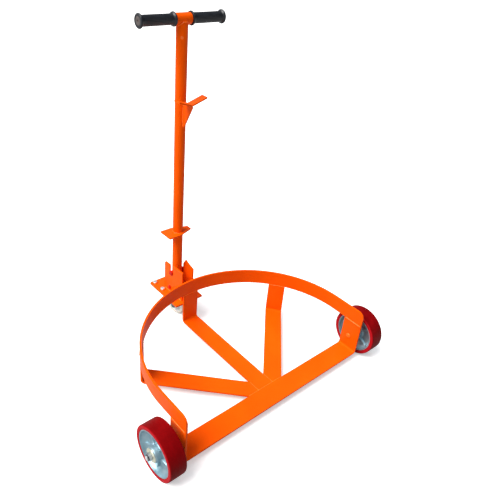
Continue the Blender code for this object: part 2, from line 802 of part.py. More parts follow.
def handle(paints):
    y = plan(TUBE_DEPTH)
    pin_reach = SIDE_INNER_X + SIDE_THICK + PIN_PROUD
    tube = lathe(
        "handle_tube",
        [
            (TUBE_RADIUS - TUBE_WALL, TUBE_BOTTOM),
            (TUBE_RADIUS - 0.0006, TUBE_BOTTOM),
            (TUBE_RADIUS, TUBE_BOTTOM + 0.0006),
            (TUBE_RADIUS, TBAR_Z),
            (TUBE_RADIUS - TUBE_WALL, TBAR_Z),
        ],
        "z",
        (0, y, 0),
        40,
        paints["orange"],
    )
    pin_hole = lathe(
        "cut_tube_pin",
        [(0, -0.02), (PIN_RADIUS + GAP, -0.02), (PIN_RADIUS + GAP, 0.02), (0, 0.02)],
        "x",
        (0, y, PIVOT_Z),
        24,
        None,
    )
    cope = lathe(
        "cut_tube_cope",
        [(0, -0.03), (TEE_SLEEVE_RADIUS + GAP, -0.03), (TEE_SLEEVE_RADIUS + GAP, 0.03), (0, 0.03)],
        "x",
        (0, y, TBAR_Z),
        32,
        None,
    )
    for cutter in (pin_hole, cope):
        as_cutter(cutter)
        boolean(tube, cutter, "DIFFERENCE")
    pin = rod_profile(PIN_RADIUS, -pin_reach, pin_reach, 0.001)
    lathe("pivot_pin", pin, "x", (0, y, PIVOT_Z), 24, paints["orange"])
    bar_reach = GRIP_OUTER_X - GRIP_CAP - GAP
    bar = rod_profile(TBAR_RADIUS, -bar_reach, bar_reach, 0.0008)
    lathe("handle_tbar", bar, "x", (0, y, TBAR_Z), 28, paints["orange"])
    sleeve_reach = GRIP_INNER_X - GAP
    sleeve = tube_profile(TBAR_RADIUS + GAP, TEE_SLEEVE_RADIUS, -sleeve_reach, sleeve_reach, 0.0006)
    lathe("tee_sleeve", sleeve, "x", (0, y, TBAR_Z), 28, paints["orange"])
    for label, side in (("left", -1), ("right", 1)):
        sleeve = TBAR_RADIUS + GAP
        inner = GRIP_INNER_X
        outer = GRIP_OUTER_X
        profile = [
            (sleeve, inner),
            (GRIP_FLANGE - 0.0015, inner),
            (GRIP_FLANGE, inner + 0.0015),
            (GRIP_FLANGE, inner + 0.0040),
            (GRIP_FLANGE - 0.0015, inner + 0.0058),
            (GRIP_RADIUS, inner + 0.0085),
            (GRIP_RADIUS, outer - 0.0095),
            (GRIP_FLANGE - 0.0015, outer - 0.0068),
            (GRIP_FLANGE, outer - 0.0048),
            (GRIP_FLANGE, outer - 0.0020),
            (GRIP_FLANGE - 0.0020, outer),
            (0.0026, outer),
            (0.0026, outer - GRIP_CAP),
            (sleeve, outer - GRIP_CAP),
        ]
        placed = [(radius, side * along) for radius, along in profile]
        lathe("grip_" + label, placed, "x", (0, y, TBAR_Z), 32, paints["black_rubber"])
    wrench_outline = [
        (WRENCH_LEFT, y - WRENCH_HALF),
        (WRENCH_SHOULDER, y - WRENCH_HALF),
        (WRENCH_TIP, y - WRENCH_TIP_HALF),
        (WRENCH_TIP, y + WRENCH_TIP_HALF),
        (WRENCH_SHOULDER, y + WRENCH_HALF),
        (WRENCH_LEFT, y + WRENCH_HALF),
    ]
    wrench = prism(
        "bung_wrench_plate", wrench_outline, "z", WRENCH_TOP - WRENCH_THICK, WRENCH_TOP, paints["orange"]
    )
    around = lathe(
        "cut_wrench_tube",
        [(0, 0.3), (TUBE_RADIUS + GAP, 0.3), (TUBE_RADIUS + GAP, 0.36), (0, 0.36)],
        "z",
        (0, y, 0),
        40,
        None,
    )
    as_cutter(around)
    boolean(wrench, around, "DIFFERENCE")
    soften(wrench, 0.0006)
    drop = HOOK_THICK / math.cos(HOOK_SLOPE)
    skew = math.sin(HOOK_SLOPE) * HOOK_THICK
    square = math.cos(HOOK_SLOPE) * HOOK_THICK
    left_z = HOOK_TOP + HOOK_LEFT_REACH * math.tan(HOOK_SLOPE)
    right_z = HOOK_TOP + HOOK_RIGHT_REACH * math.tan(HOOK_SLOPE)
    section = [
        (-HOOK_LEFT_REACH, left_z),
        (0, HOOK_TOP),
        (HOOK_RIGHT_REACH, right_z),
        (HOOK_RIGHT_REACH + skew, right_z - square),
        (0, HOOK_TOP - drop),
        (-HOOK_LEFT_REACH - skew, left_z - square),
    ]
    depths = (HOOK_FRONT, HOOK_FRONT + HOOK_WIDTH)
    verts = [(x, plan(d), z) for d in depths for x, z in section]
    faces = [(0, 1, 4, 5), (1, 2, 3, 4), (6, 7, 10, 11), (7, 8, 9, 10)]
    faces += [(i, (i + 1) % 6, 6 + (i + 1) % 6, 6 + i) for i in range(6)]
    bar = add_object("hook_bar", verts, faces, paints["orange"])
    soften(bar, 0.0006)
    gusset_top = HOOK_TOP - drop - GAP
    tube_front = TUBE_DEPTH - TUBE_RADIUS - GAP
    gusset = [
        (plan(HOOK_FRONT + 0.0005), gusset_top),
        (plan(HOOK_FRONT + 0.0005), gusset_top - 0.004),
        (plan(tube_front - 0.004), GUSSET_FOOT),
        (plan(tube_front), GUSSET_FOOT),
        (plan(tube_front), gusset_top),
    ]
    prism("hook_gusset", gusset, "x", -GUSSET_THICK / 2, GUSSET_THICK / 2, paints["orange"])


def axle_holes(bar):
    hole = lathe(
        "cut_axle_holes",
        [(0, -0.5), (AXLE_RADIUS + GAP, -0.5), (AXLE_RADIUS + GAP, 0.5), (0, 0.5)],
        "x",
        (0, plan(AXLE_DEPTH), WHEEL_RADIUS),
        24,
        None,
    )
    as_cutter(hole)
    boolean(bar, hole, "DIFFERENCE")


def build():
    for obj in list(bpy.data.objects):
        bpy.data.objects.remove(obj, do_unlink=True)
    paints = {
        "orange": make_material("orange", (0.86, 0.12, 0.01), 0.0, 0.35),
        "red_tread": make_material("red_tread", (0.45, 0.01, 0.015), 0.0, 0.45),
        "silver_core": make_material("silver_core", (0.55, 0.60, 0.64), 0.9, 0.4),
        "zinc": make_material("zinc", (0.60, 0.62, 0.63), 1.0, 0.35),
        "pale_cap": make_material("pale_cap", (0.80, 0.80, 0.62), 0.6, 0.4),
        "black_rubber": make_material("black_rubber", (0.02, 0.02, 0.025), 0.0, 0.6),
        "cream": make_material("cream", (0.85, 0.80, 0.68), 0.0, 0.45),
        "pale_core": make_material("pale_core", (0.80, 0.80, 0.78), 0.0, 0.5),
    }
    bar = front_bar(paints["orange"])
    axle_holes(bar)
    soften(bar, 0.0008)
    spokes(paints["orange"])
    soften(ring_band(paints["orange"]), 0.0008, 1, 60)
    for side, label in ((-1, "left"), (1, "right")):
        side_wheel(side, label, paints)
    top_low = caster_mount(paints)
    swivel_caster(top_low, paints)
    handle_bracket(paints)
    handle(paints)


build()
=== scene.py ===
"""Looks of the drum dolly: painted steel, cast wheels, rubber grips and zinc hardware."""

import json
import math

import bmesh
import bpy
from mathutils import Matrix, Vector


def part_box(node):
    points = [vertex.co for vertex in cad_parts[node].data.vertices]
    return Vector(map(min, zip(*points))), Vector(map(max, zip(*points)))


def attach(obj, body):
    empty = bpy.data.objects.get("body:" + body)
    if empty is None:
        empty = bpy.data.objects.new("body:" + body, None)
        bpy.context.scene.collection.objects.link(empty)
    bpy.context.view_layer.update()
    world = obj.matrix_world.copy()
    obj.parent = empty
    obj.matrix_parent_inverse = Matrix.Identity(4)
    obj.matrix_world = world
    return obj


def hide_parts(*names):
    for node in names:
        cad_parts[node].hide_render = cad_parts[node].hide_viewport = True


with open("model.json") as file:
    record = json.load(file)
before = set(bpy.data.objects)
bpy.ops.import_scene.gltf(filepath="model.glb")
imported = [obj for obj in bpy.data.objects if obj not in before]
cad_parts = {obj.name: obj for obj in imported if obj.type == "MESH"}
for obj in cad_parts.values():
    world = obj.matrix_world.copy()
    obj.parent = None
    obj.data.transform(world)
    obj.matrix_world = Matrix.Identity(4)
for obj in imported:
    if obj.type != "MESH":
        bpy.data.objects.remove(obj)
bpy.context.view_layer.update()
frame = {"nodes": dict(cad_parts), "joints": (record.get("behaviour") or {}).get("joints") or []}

SMOOTH_ANGLE = math.radians(34)

# Lengths of the object, in metres. GAP is the clearance between two CAD solids that touch.
GAP = 0.0003
BAR_THICKNESS = 0.006
SPOKE_WIDTH = 0.055
SPOKE_ANGLE = math.radians(46.1)
# Distance from the front bar's front edge to the point where the spokes' middle lines meet.
SPOKE_MEET = 0.0377
STUD_RADIUS = 0.0080
THREAD_RADIUS = 0.00635
NUT_BORE = 0.0067
# Bore of the parts that sit on the T-bar.
TBAR_CLEAR = 0.0115
PLUG_WELD_Z = 0.912
PLUG_WELD_SIDE = (-0.55, -0.84, 0)

# Light, floor and camera.
FLOOR_BOUNCE = 0.42
FLOOR_GLOW = 0.42
FLOOR_REACH = 45.0
BACKDROP = (0.90, 0.91, 0.92, 1)
SKY_LOW = (0.11, 0.12, 0.13, 1)
SKY_HIGH = (0.68, 0.71, 0.76, 1)
SOFT_SIDE = (-0.5, 0.35, 0.8)
KEY_SIDE = (-0.53, 0.12, 0.84)
KEY_STRENGTH = 4.7
KEY_SPREAD = 42
KEY_COLOR = (1.0, 0.985, 0.96)
CAMERA_EYE = (-0.8584, -0.9656, 1.2148)
CAMERA_FORWARD = (0.59201, 0.60181, -0.53605)
CAMERA_UP = (0.2985, 0.4541, 0.8395)
LENS_MM = 39.1
SENSOR_MM = 36


# ---------------------------------------------------------------- node helpers


class Shader:
    """A small wrapper that builds a procedural material node by node."""

    def __init__(self, name):
        self.material = bpy.data.materials.new(name)
        self.material.use_nodes = True
        self.nodes = self.material.node_tree.nodes
        self.links = self.material.node_tree.links
        self.bsdf = self.nodes["Principled BSDF"]
        self.coords = self.nodes.new("ShaderNodeTexCoord").outputs["Object"]

    def put(self, socket, value):
        if isinstance(value, bpy.types.NodeSocket):
            self.links.new(value, socket)
        else:
            socket.default_value = value

    def node(self, kind, out=0, **inputs):
        made = self.nodes.new("ShaderNode" + kind)
        for key, value in inputs.items():
            self.put(made.inputs[key.replace("_", " ")], value)
        return made.outputs[out]

    def noise(self, scale, detail=3.0, roughness=0.5, vector=None):
        where = self.coords if vector is None else vector
        return self.node(
            "TexNoise", 0, Vector=where, Scale=scale, Detail=detail, Roughness=roughness
        )

    def stretch(self, scale):
        made = self.nodes.new("ShaderNodeMapping")
        self.links.new(self.coords, made.inputs["Vector"])
        made.inputs["Scale"].default_value = scale
        return made.outputs[0]

    def ramp(self, factor, stops):
        made = self.nodes.new("ShaderNodeValToRGB")
        self.links.new(factor, made.inputs[0])
        elements = made.color_ramp.elements
        while len(elements) < len(stops):
            elements.new(0.5)
        for element, (place, color) in zip(elements, stops):
            element.position = place
            shade = color if isinstance(color, tuple) else (color, color, color)
            element.color = (*shade, 1)
        return made.outputs[0]

    def math(self, operation, a, b=0.0):
        made = self.nodes.new("ShaderNodeMath")
        made.operation = operation
        self.put(made.inputs[0], a)
        self.put(made.inputs[1], b)
        return made.outputs[0]

    def span(self, value, low, high, from_low=0.0, from_high=1.0):
        made = self.nodes.new("ShaderNodeMapRange")
        self.put(made.inputs["Value"], value)
        made.inputs["From Min"].default_value = from_low
        made.inputs["From Max"].default_value = from_high
        made.inputs["To Min"].default_value = low
        made.inputs["To Max"].default_value = high
        return made.outputs[0]

    def mix(self, factor, a, b):
        made = self.nodes.new("ShaderNodeMix")
        made.data_type = "RGBA"
        self.put(made.inputs["Factor"], factor)
        for index, value in ((6, a), (7, b)):
            self.put(made.inputs[index], (*value, 1) if isinstance(value, tuple) else value)
        return made.outputs[2]

    def bump(self, height, distance, strength=1.0, normal=None):
        made = self.nodes.new("ShaderNodeBump")
        made.inputs["Strength"].default_value = strength
        made.inputs["Distance"].default_value = distance
        self.put(made.inputs["Height"], height)
        if normal is not None:
            self.put(made.inputs["Normal"], normal)
        return made.outputs[0]

    def surface(self, color, rough, normal=None, metallic=0.0, **fixed):
        self.put(self.bsdf.inputs["Base Color"], color)
        self.put(self.bsdf.inputs["Roughness"], rough)
        self.bsdf.inputs["Metallic"].default_value = metallic
        for key, value in fixed.items():
            self.bsdf.inputs[key.replace("_", " ")].default_value = value
        if normal is not None:
            self.put(self.bsdf.inputs["Normal"], normal)
        return self.material


# ---------------------------------------------------------------- materials


def orange_paint():
    """Glossy powder coat: faint orange peel, slow thickness variation and dusty specks."""
    s = Shader("orange_powder_coat")
    slow = s.noise(9.0, 4.0, 0.6)
    fine = s.noise(160.0, 3.0, 0.6)
    shades = [
        (0.30, (0.86, 0.084, 0.0008)),
        (0.55, (0.92, 0.094, 0.0010)),
        (0.75, (0.96, 0.106, 0.0014)),
    ]
    base = s.ramp(slow, shades)
    speck = s.ramp(s.noise(420.0, 2.0, 0.5), [(0.70, 0.0), (0.78, 1.0)])
    faint = s.math("MULTIPLY", speck, 0.10)
    color = s.mix(faint, base, (1.0, 0.17, 0.02))
    blend = s.math("ADD", s.math("MULTIPLY", slow, 0.6), s.math("MULTIPLY", fine, 0.4))
    rough = s.span(blend, 0.30, 0.52)
    peel = s.bump(s.noise(330.0, 2.0, 0.45), 0.00022, 0.35)
    wavy = s.bump(s.noise(24.0, 2.0, 0.4), 0.0012, 0.22, peel)
    tint = (1.0, 0.30, 0.06, 1)
    return s.surface(color, rough, wavy, 0.0, Specular_IOR_Level=0.15, Specular_Tint=tint, IOR=1.5)


def red_polyurethane():
    """Satin cast polyurethane with fine running scuffs, a little dust and a painted highlight on
    the side faces.
    """
    s = Shader("red_polyurethane")
    slow = s.noise(26.0, 4.0, 0.6)
    scuff = s.noise(14.0, 5.0, 0.7, s.stretch((40.0, 3.0, 3.0)))
    shades = [
        (0.30, (0.15, 0.0012, 0.0020)),
        (0.60, (0.20, 0.0016, 0.0028)),
        (0.80, (0.25, 0.0026, 0.0040)),
    ]
    base = s.ramp(slow, shades)
    lines = s.ramp(scuff, [(0.60, 0.0), (0.80, 1.0)])
    worn = s.mix(s.math("MULTIPLY", lines, 0.08), base, (0.40, 0.03, 0.03))
    # Painted highlight: the side faces, whose normals point along X, get a lighter red than the
    # running surface, for the light they catch.
    normal_axis = s.node("SeparateXYZ", 0, Vector=s.node("TexCoord", 1))
    painted_flank_highlight = s.span(s.math("ABSOLUTE", normal_axis), 0.0, 1.0, 0.45, 0.90)
    color = s.mix(painted_flank_highlight, worn, (0.40, 0.007, 0.012))
    rough = s.span(scuff, 0.36, 0.58)
    normal = s.bump(scuff, 0.0003, 0.25, s.bump(s.noise(240.0, 2.0), 0.0001, 0.3))
    tint = (1.0, 0.25, 0.20, 1)
    return s.surface(
        color, rough, normal, 0.0, Specular_IOR_Level=0.06, Specular_Tint=tint, IOR=1.5
    )


def cast_core():
    """Silver-painted casting: pebbled skin, faint turning lines and a cool tint."""
    s = Shader("cast_core_silver")
    slow = s.noise(34.0, 4.0, 0.6)
    grain = s.noise(700.0, 3.0, 0.6)
    shades = [(0.25, (0.16, 0.31, 0.37)), (0.50, (0.28, 0.42, 0.48)), (0.75, (0.45, 0.55, 0.61))]
    base = s.ramp(slow, shades)
    color = s.mix(s.math("MULTIPLY", grain, 0.20), base, (0.60, 0.72, 0.78))
    rough = s.span(grain, 0.32, 0.48)
    normal = s.bump(grain, 0.00022, 0.35, s.bump(slow, 0.0006, 0.3))
    return s.surface(color, rough, normal, 0.75)


def zinc_plate(name, tint, spread, rough_low, rough_high):
    """Bright zinc plate with clouded passivation and short drawing lines."""
    s = Shader(name)
    cloud = s.noise(60.0, 4.0, 0.65)
    lines = s.noise(30.0, 3.0, 0.6, s.stretch((60.0, 60.0, 4.0)))
    low = tuple(max(0.0, c - spread) for c in tint)
    high = tuple(min(1.0, c + spread) for c in tint)
    color = s.ramp(cloud, [(0.30, low), (0.55, tint), (0.80, high)])
    blend = s.math("ADD", s.math("MULTIPLY", cloud, 0.5), s.math("MULTIPLY", lines, 0.5))
    rough = s.span(blend, rough_low, rough_high)
    normal = s.bump(lines, 0.00012, 0.25)
    return s.surface(color, rough, normal, 0.95)


def black_rubber():
    """Grip rubber: matt skin, tiny pits and a dusty bloom."""
    s = Shader("black_grip_rubber")
    slow = s.noise(40.0, 4.0, 0.6)
    pits = s.noise(900.0, 2.0, 0.5)
    shades = [
        (0.30, (0.003, 0.004, 0.007)),
        (0.60, (0.007, 0.009, 0.014)),
        (0.85, (0.014, 0.018, 0.026)),
    ]
    base = s.ramp(slow, shades)
    bloom = s.ramp(s.noise(120.0, 4.0, 0.7), [(0.62, 0.0), (0.82, 1.0)])
    color = s.mix(s.math("MULTIPLY", bloom, 0.10), base, (0.06, 0.07, 0.09))
    rough = s.span(slow, 0.30, 0.48)
    normal = s.bump(pits, 0.00018, 0.35)
    return s.surface(color, rough, normal, 0.0, IOR=1.5)


def grip_cap():
    """Worn moulded end face of the grip: brownish grey and a little polished."""
    s = Shader("grip_end_rubber")
    slow = s.noise(90.0, 4.0, 0.6)
    shades = [
        (0.30, (0.060, 0.048, 0.044)),
        (0.60, (0.105, 0.085, 0.078)),
        (0.85, (0.16, 0.135, 0.12)),
    ]
    color = s.ramp(slow, shades)
    rough = s.span(slow, 0.34, 0.55)
    normal = s.bump(s.noise(800.0, 2.0), 0.00015, 0.35)
    return s.surface(color, rough, normal, 0.0, IOR=1.5)


def moulded(name, dark, light, rough_low, rough_high):
    """Moulded nylon: slight flow marks and handling dust."""
    s = Shader(name)
    flow = s.noise(30.0, 4.0, 0.6, s.stretch((1.0, 2.5, 1.0)))
    fine = s.noise(300.0, 3.0, 0.6)
    color = s.ramp(flow, [(0.30, dark), (0.70, light)])
    dust = s.ramp(s.noise(70.0, 4.0, 0.7), [(0.60, 0.0), (0.85, 1.0)])
    shade = tuple(0.6 * c for c in dark)
    color = s.mix(s.math("MULTIPLY", dust, 0.18), color, shade)
    rough = s.span(fine, rough_low, rough_high)
    normal = s.bump(fine, 0.00015, 0.3)
    return s.surface(color, rough, normal, 0.0, Subsurface_Weight=0.08, Subsurface_Scale=0.004)


def pin_shade_paint():
    """Painted shade on the two cross pins: their orange paint is darkened to a deeper red than the
    frame's, for the shade of the slot and recess they sit in.
    """
    s = Shader("pin_painted_shade")
    slow = s.noise(80.0, 4.0, 0.6)
    shades = [
        (0.30, (0.42, 0.010, 0.004)),
        (0.60, (0.58, 0.016, 0.005)),
        (0.85, (0.72, 0.034, 0.008)),
    ]
    color = s.ramp(slow, shades)
    grain = s.bump(slow, 0.0004, 0.3)
    return s.surface(color, s.span(slow, 0.30, 0.50), grain, 0.0, Specular_IOR_Level=0.12, IOR=1.5)


def weld_highlight_paint():
    """Paint over a weld bead with a painted highlight: a lighter orange than the flat bars, for the
    light the raised bead catches.
    """
    s = Shader("weld_painted_highlight")
    slow = s.noise(130.0, 4.0, 0.6)
    shades = [
        (0.30, (0.92, 0.125, 0.0020)),
        (0.60, (1.0, 0.165, 0.0060)),
        (0.85, (1.0, 0.24, 0.020)),
    ]
    color = s.ramp(slow, shades)
    normal = s.bump(slow, 0.0004, 0.4)
    return s.surface(color, s.span(slow, 0.22, 0.42), normal, 0.0, Specular_IOR_Level=0.40, IOR=1.5)


def floor_paint():
    """A floor the camera sees as near white, while bounced light meets a mid grey."""
    s = Shader("pale_floor")
    slow = s.noise(0.8, 2.0, 0.5)
    seen = s.node("LightPath")
    grey = (FLOOR_BOUNCE, FLOOR_BOUNCE, FLOOR_BOUNCE)
    color = s.mix(seen, grey, s.ramp(slow, [(0.30, 0.88), (0.70, 0.90)]))
    s.put(s.bsdf.inputs["Emission Color"], (1.0, 1.0, 1.0, 1))
    s.put(s.bsdf.inputs["Emission Strength"], s.math("MULTIPLY", seen, FLOOR_GLOW))
    return s.surface(color, 0.85, None, 0.0, Specular_IOR_Level=0.1)


PAINT = orange_paint()
# The weld beads and plug welds take a lighter orange as a painted highlight.
WELD_PAINTED_HIGHLIGHT = weld_highlight_paint()
# The cross pins' material is orange paint darkened to red as painted shade.
PIN_PAINTED_SHADE = pin_shade_paint()
RED = red_polyurethane()
CORE = cast_core()
ZINC = zinc_plate("zinc_plate", (0.60, 0.64, 0.66), 0.10, 0.22, 0.42)
DULL_ZINC = zinc_plate("dull_zinc", (0.20, 0.22, 0.24), 0.06, 0.34, 0.52)
CAP = zinc_plate("cream_cap", (0.84, 0.84, 0.68), 0.07, 0.30, 0.48)
BRIGHT_ZINC = zinc_plate("bright_zinc", (0.90, 0.92, 0.92), 0.06, 0.30, 0.45)
RUBBER = black_rubber()
GRIP_END = grip_cap()
CREAM = moulded("cream_nylon", (0.76, 0.73, 0.63), (0.86, 0.84, 0.75), 0.36, 0.52)
PALE = moulded("pale_nylon", (0.66, 0.69, 0.68), (0.78, 0.80, 0.79), 0.36, 0.52)
NYLON_BLUE = moulded("nylon_insert", (0.012, 0.018, 0.028), (0.030, 0.040, 0.058), 0.35, 0.50)


# ---------------------------------------------------------------- mesh helpers


def add_piece(name, verts, faces, material, body, smooth=SMOOTH_ANGLE):
    mesh = bpy.data.meshes.new(name)
    mesh.from_pydata([tuple(v) for v in verts], [], faces)
    shell = bmesh.new()
    shell.from_mesh(mesh)
    bmesh.ops.remove_doubles(shell, verts=shell.verts, dist=1e-7)
    bmesh.ops.recalc_face_normals(shell, faces=shell.faces)
    shell.to_mesh(mesh)
    shell.free()
    mesh.materials.append(material)
    piece = bpy.data.objects.new(name, mesh)
    bpy.context.scene.collection.objects.link(piece)
    mesh.shade_smooth()
    mesh.set_sharp_from_angle(angle=smooth)
    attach(piece, body)
    return piece


def basis(axis):
    """Two unit vectors square to an axis."""
    along = Vector(axis).normalized()
    first = Vector((0, 0, 1)) if abs(along.z) < 0.9 else Vector((1, 0, 0))
    a = along.cross(first).normalized()
    return a, along.cross(a), along


def turned(name, profile, axis, centre, steps, material, body, shape=None):
    """Turns a closed (radius, along) profile. shape(angle, radius, along) may change the radius."""
    a, b, along = basis(axis)
    centre = Vector(centre)
    verts = []
    faces = []
    count = len(profile)
    for k in range(steps):
        angle = 2 * math.pi * k / steps
        direction = a * math.cos(angle) + b * math.sin(angle)
        for radius, reach in profile:
            if shape is not None:
                radius = shape(angle, radius, reach)
            verts.append(centre + direction * radius + along * reach)
    for k in range(steps):
        m = (k + 1) % steps
        for i in range(count):
            j = (i + 1) % count
            corners = [k * count + i, k * count + j, m * count + j, m * count + i]
            if profile[i][0] == 0 and profile[j][0] == 0:
                continue
            if profile[j][0] == 0:
                corners = [k * count + i, k * count + j, m * count + i]
            elif profile[i][0] == 0:
                corners = [k * count + i, k * count + j, m * count + j]
            faces.append(tuple(corners))
    return add_piece(name, verts, faces, material, body)


def rounded(points, radius, steps=4):
    """Rounds the inner corners of an open profile by a small fillet."""
    out = [points[0]]
    for before, at, after in zip(points, points[1:], points[2:]):
        here = Vector(at)
        back = Vector(before) - here
        ahead = Vector(after) - here
        reach = min(radius, back.length * 0.45, ahead.length * 0.45)
        if reach < 1e-6:
            out.append(at)
            continue
        first = here + back.normalized() * reach
        last = here + ahead.normalized() * reach
        for k in range(steps + 1):
            t = k / steps
            point = first * (1 - t) ** 2 + here * (2 * t * (1 - t)) + last * t**2
            out.append((point.x, point.y))
    out.append(points[-1])
    return out


def softened(node, material, body, width, segments=3, angle=38):
    """A copy of a CAD solid with cleaned faces and rounded edges, standing for that node."""
    source = frame["nodes"][node]
    shell = bmesh.new()
    shell.from_mesh(source.data)
    bmesh.ops.remove_doubles(shell, verts=shell.verts, dist=1e-6)
    flat = math.radians(1.2)
    bmesh.ops.dissolve_limit(shell, angle_limit=flat, verts=shell.verts, edges=shell.edges)
    mesh = bpy.data.meshes.new(node + "_skin")
    shell.to_mesh(mesh)
    shell.free()
    mesh.materials.clear()
    mesh.materials.append(material)
    piece = bpy.data.objects.new(node + "_skin", mesh)
    bpy.context.scene.collection.objects.link(piece)
    mesh.shade_smooth()
    mesh.set_sharp_from_angle(angle=math.radians(50))
    edges = piece.modifiers.new("Edges", "BEVEL")
    edges.width = width
    edges.segments = segments
    edges.limit_method = "ANGLE"
    edges.angle_limit = math.radians(angle)
    edges.use_clamp_overlap = True
    edges.harden_normals = False
    weighted = piece.modifiers.new("Shading", "WEIGHTED_NORMAL")
    weighted.keep_sharp = False
    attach(piece, body)
    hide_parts(node)


def weld(name, path, radius, body, flatten=1.0, normal=None, closed=False):
    """A hand-laid weld bead: a tube along a path whose section swells at each ripple."""
    points = [Vector(p) for p in path]
    if closed:
        points.append(points[0])
    lengths = [0.0]
    for p, q in zip(points, points[1:]):
        lengths.append(lengths[-1] + (q - p).length)
    total = lengths[-1]
    step = radius * 0.42
    count = max(8, int(total / step))
    pitch = radius * 1.5
    sides = 10
    verts = []
    for k in range(count if closed else count + 1):
        at = total * k / count
        i = 0
        while i < len(lengths) - 2 and lengths[i + 1] < at:
            i += 1
        blend = (at - lengths[i]) / max(1e-9, lengths[i + 1] - lengths[i])
        middle = points[i].lerp(points[i + 1], blend)
        along = (points[i + 1] - points[i]).normalized()
        if normal is None:
            a, b, _ = basis(along)
        else:
            a = along.cross(Vector(normal)).normalized()
            b = a.cross(along).normalized()
        phase = (at / pitch) % 1.0
        ripple = 0.90 + 0.12 * math.sin(math.pi * phase) + 0.03 * math.sin(at / pitch * 1.7)
        end = 1.0 if closed else min(1.0, 0.25 + math.sqrt(max(0.0, min(at, total - at)) / radius))
        size = radius * ripple * end
        for m in range(sides):
            angle = 2 * math.pi * m / sides
            across = a * (size * math.cos(angle))
            rise = b * (size * flatten * math.sin(angle))
            verts.append(middle + across + rise)
    rings = len(verts) // sides
    faces = []
    for k in range(rings if closed else rings - 1):
        n = (k + 1) % rings
        for m in range(sides):
            j = (m + 1) % sides
            faces.append((k * sides + m, k * sides + j, n * sides + j, n * sides + m))
    if not closed:
        faces.append(tuple(range(sides)))
        faces.append(tuple((rings - 1) * sides + m for m in range(sides)))
    add_piece(name, verts, faces, WELD_PAINTED_HIGHLIGHT, body, math.radians(60))


def hex_radius(angle, flats):
    """Distance from a hexagon's centre to its edge at an angle."""
    wrapped = (angle + math.pi / 6) % (math.pi / 3) - math.pi / 6
    return flats / 2 / math.cos(wrapped)


def hex_piece(name, flats, levels, axis, centre, material, body, bore=0.0):
    """A hexagonal nut or head. levels are (along, limit): the hexagon is cut to that radius."""
    a, b, along = basis(axis)
    steps = 72
    verts = []
    rings = []
    for reach, limit in levels:
        ring = []
        for k in range(steps):
            angle = 2 * math.pi * k / steps
            size = min(hex_radius(angle, flats), limit)
            ring.append(len(verts))
            direction = a * math.cos(angle) + b * math.sin(angle)
            verts.append(Vector(centre) + direction * size + along * reach)
        rings.append(ring)
    if bore:
        for reach in (levels[-1][0], levels[0][0]):
            ring = []
            for k in range(steps):
                angle = 2 * math.pi * k / steps
                ring.append(len(verts))
                direction = a * math.cos(angle) + b * math.sin(angle)
                verts.append(Vector(centre) + direction * bore + along * reach)
            rings.append(ring)
    faces = []
    pairs = list(zip(rings, rings[1:]))
    if bore:
        pairs.append((rings[-1], rings[0]))
    for first, second in pairs:
        for k in range(steps):
            m = (k + 1) % steps
            faces.append((first[k], first[m], second[m], second[k]))
    if not bore:
        faces.append(tuple(rings[0]))
        faces.append(tuple(rings[-1]))
    return add_piece(name, verts, faces, material, body, math.radians(24))


def hex_levels(flats, low, high, both=True):
    """Levels of a hexagon between two heights, chamfered at the top and, if both, at the foot."""
    corner = flats / math.sqrt(3)
    flat = flats / 2
    cut = (corner - flat) * 0.58
    levels = []
    if both:
        levels += [(low, flat * 0.96), (low + cut * 0.35, flat * 1.02), (low + cut, corner)]
    else:
        levels += [(low, corner)]
    levels += [(high - cut, corner), (high - cut * 0.35, flat * 1.02), (high, flat * 0.95)]
    return levels


# ---------------------------------------------------------------- side wheels


RIB_COUNT = 5
RIB_PHASE = {"left": math.radians(52), "right": math.radians(2)}
RIB_HALF = 0.0019


def wheel_ribs(label, centre, radii, heights, body):
    """Cast ribs between the hub boss and the rim, on both faces of the wheel core."""
    inner, outer = radii
    web, boss_top, rim_top = heights
    stations = 22
    section = 11
    verts = []
    faces = []
    for face in (-1, 1):
        for k in range(RIB_COUNT):
            angle = RIB_PHASE[label] + 2 * math.pi * k / RIB_COUNT
            along = Vector((0, math.cos(angle), math.sin(angle)))
            across = Vector((0, -math.sin(angle), math.cos(angle)))
            first = len(verts)
            for i in range(stations + 1):
                t = i / stations
                radius = inner + (outer - inner) * t
                sag = 0.0040 * math.sin(math.pi * t) ** 0.8
                crest = boss_top + (rim_top - boss_top) * t - sag
                foot = web - 0.0015
                flare = 0.0016 * (abs(2 * t - 1) ** 4)
                for m in range(section + 1):
                    turn = math.pi * m / section
                    squeeze = abs(math.sin(turn)) ** 0.35
                    side = math.cos(turn) * (RIB_HALF + flare + 0.0012 * (1 - squeeze))
                    height = foot + (crest - foot) * squeeze
                    raised = Vector((face * height, 0, 0))
                    verts.append(centre + along * radius + across * side + raised)
            row = section + 1
            for i in range(stations):
                for m in range(section):
                    a = first + i * row + m
                    faces.append((a, a + 1, a + row + 1, a + row))
                a = first + i * row
                faces.append((a + section, a, a + row, a + row + section))
            faces.append(tuple(first + m for m in range(row)))
            faces.append(tuple(first + stations * row + m for m in range(row)))
    add_piece("core_ribs_" + label, verts, faces, CORE, body, math.radians(50))


